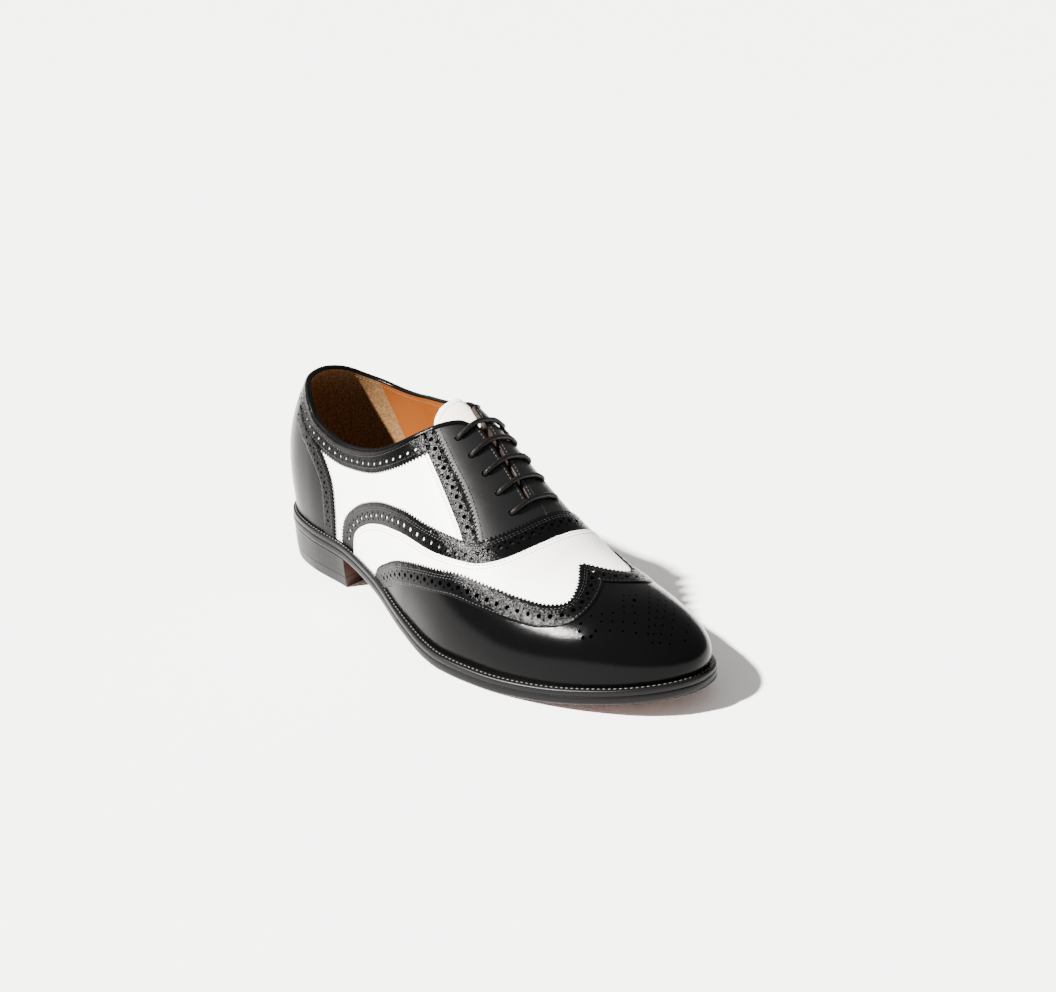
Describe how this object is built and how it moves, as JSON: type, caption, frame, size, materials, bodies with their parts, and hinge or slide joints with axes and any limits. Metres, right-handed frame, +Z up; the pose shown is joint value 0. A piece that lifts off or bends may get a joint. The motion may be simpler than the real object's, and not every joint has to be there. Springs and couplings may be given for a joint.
{
  "type": "spectator shoe",
  "caption": "Black and white wing-tip oxford for the right foot, with stacked heel, welted leather sole, punched and gimped trim and straight lacing",
  "frame": {"origin": "under the middle of the shoe's bounding box, on the floor", "axes": "+X toe, +Y the wearer's left (inner side of this right shoe), +Z up"},
  "size_m": [0.3084, 0.113, 0.116],
  "materials": {
    "outsole": "black edge, satin",
    "welt": "black, satin",
    "insole": "tan, smooth",
    "heel_stack": "black-stained lifts, satin",
    "heel_top_piece": "black, matt",
    "upper": "white, smooth, satin",
    "tongue": "white, smooth, satin",
    "wing_cap": "black, polished, punched",
    "swoop_band": "black, polished, punched",
    "counter": "black, polished, punched edge",
    "collar_band": "black, polished, punched",
    "facing_outer": "black, polished",
    "facing_inner": "black, polished",
    "lace_bar_1": "black waxed round lace",
    "lace_bar_2": "black waxed round lace",
    "lace_bar_3": "black waxed round lace",
    "lace_bar_4": "black waxed round lace",
    "lace_bar_5": "black waxed round lace"
  },
  "bodies": {
    "root": {"outsole": "outsole", "welt": "welt", "insole": "insole", "heel_stack": "heel_stack", "heel_top_piece": "heel_top_piece", "upper": "upper", "tongue": "tongue", "wing_cap": "wing_cap", "swoop_band": "swoop_band", "counter": "counter", "collar_band": "collar_band", "facing_outer": "facing_outer", "facing_inner": "facing_inner", "lace_bar_1": "lace_bar_1", "lace_bar_2": "lace_bar_2", "lace_bar_3": "lace_bar_3", "lace_bar_4": "lace_bar_4", "lace_bar_5": "lace_bar_5"}
  },
  "joints": []
}
